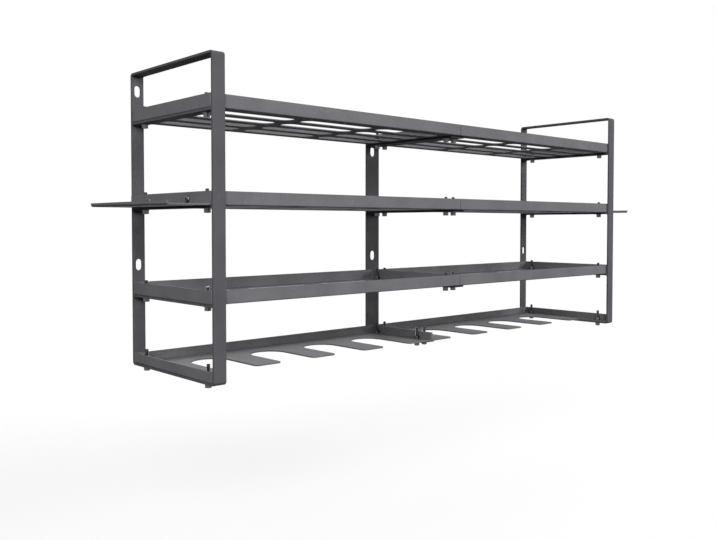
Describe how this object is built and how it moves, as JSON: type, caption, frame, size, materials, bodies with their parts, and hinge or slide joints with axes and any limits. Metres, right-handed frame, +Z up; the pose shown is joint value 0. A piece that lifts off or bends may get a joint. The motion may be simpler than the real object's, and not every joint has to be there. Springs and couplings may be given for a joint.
{
  "type": "wall-mounted power tool rack",
  "caption": "Wall rack with slotted tray shelves, a comb of open slots for hanging drills, and narrow side racks for pliers and hand tools.",
  "frame": {"origin": "on the wall plane, midway between the two screw slots of the centre strap", "axes": "+X to the right along the wall, +Y into the wall, +Z up"},
  "size_m": [1.04, 0.21, 0.411],
  "materials": {
    "bar": "black powder coat on flat steel bar, satin with a fine orange-peel texture",
    "sheet": "black powder coat on folded steel sheet, satin with a fine orange-peel texture",
    "fasteners": "zinc plating on steel screws, nuts and washers"
  },
  "bodies": {
    "root": {"centre_bottom_bearer": "bar", "centre_lower_bearer": "bar", "centre_middle_bearer": "bar", "centre_strap": "bar", "centre_upper_bearer": "bar", "drill_rack_bolts": "fasteners", "drill_rack_left": "sheet", "drill_rack_nuts": "fasteners", "drill_rack_right": "sheet", "drill_rack_washers": "fasteners", "hand_tool_rack": "sheet", "hand_tool_rack_nuts": "fasteners", "hand_tool_rack_screws": "fasteners", "left_lower_bearer": "bar", "left_middle_bearer": "bar", "left_side_loop": "bar", "left_upper_bearer": "bar", "lower_shelf_bolts": "fasteners", "lower_shelf_left": "sheet", "lower_shelf_nuts": "fasteners", "lower_shelf_right": "sheet", "lower_shelf_washers": "fasteners", "middle_shelf_bolts": "fasteners", "middle_shelf_left": "sheet", "middle_shelf_nuts": "fasteners", "middle_shelf_right": "sheet", "middle_shelf_washers": "fasteners", "plier_rack": "sheet", "plier_rack_nuts": "fasteners", "plier_rack_screws": "fasteners", "right_lower_bearer": "bar", "right_middle_bearer": "bar", "right_side_loop": "bar", "right_upper_bearer": "bar", "upper_shelf_bolts": "fasteners", "upper_shelf_left": "sheet", "upper_shelf_nuts": "fasteners", "upper_shelf_right": "sheet", "upper_shelf_washers": "fasteners"}
  },
  "joints": []
}
